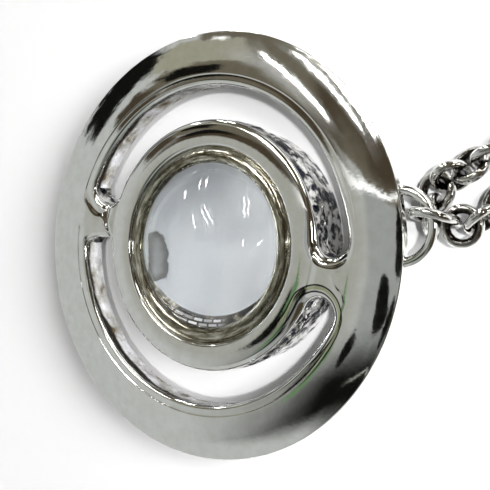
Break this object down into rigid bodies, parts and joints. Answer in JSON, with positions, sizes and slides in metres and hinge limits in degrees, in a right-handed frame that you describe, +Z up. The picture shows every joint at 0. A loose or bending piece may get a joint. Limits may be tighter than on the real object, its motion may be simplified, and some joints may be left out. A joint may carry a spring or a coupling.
{
  "type": "orb pendant",
  "caption": "Round openwork pendant with a clear domed crystal in an inner ring, on a looped chain of round links with a spring ring clasp.",
  "frame": {"origin": "on the surface the necklace lies on, below the middle of its bounding box", "axes": "+X from the pendant along the laid out chain to the clasp, +Z up out of the pendant's front face"},
  "size_m": [0.228, 0.087, 0.01],
  "materials": {
    "frame_metal": "polished, with as-cast slot walls",
    "crystal": "clear polished glass",
    "ring_metal": "polished wire",
    "chain_metal": "polished wire links",
    "clasp_metal": "polished"
  },
  "bodies": {
    "root": {"pendant_frame": "frame_metal", "crystal_orb": "crystal", "jump_ring": "ring_metal", "chain_upper": "chain_metal", "chain_lower": "chain_metal", "clasp": "clasp_metal"}
  },
  "joints": []
}
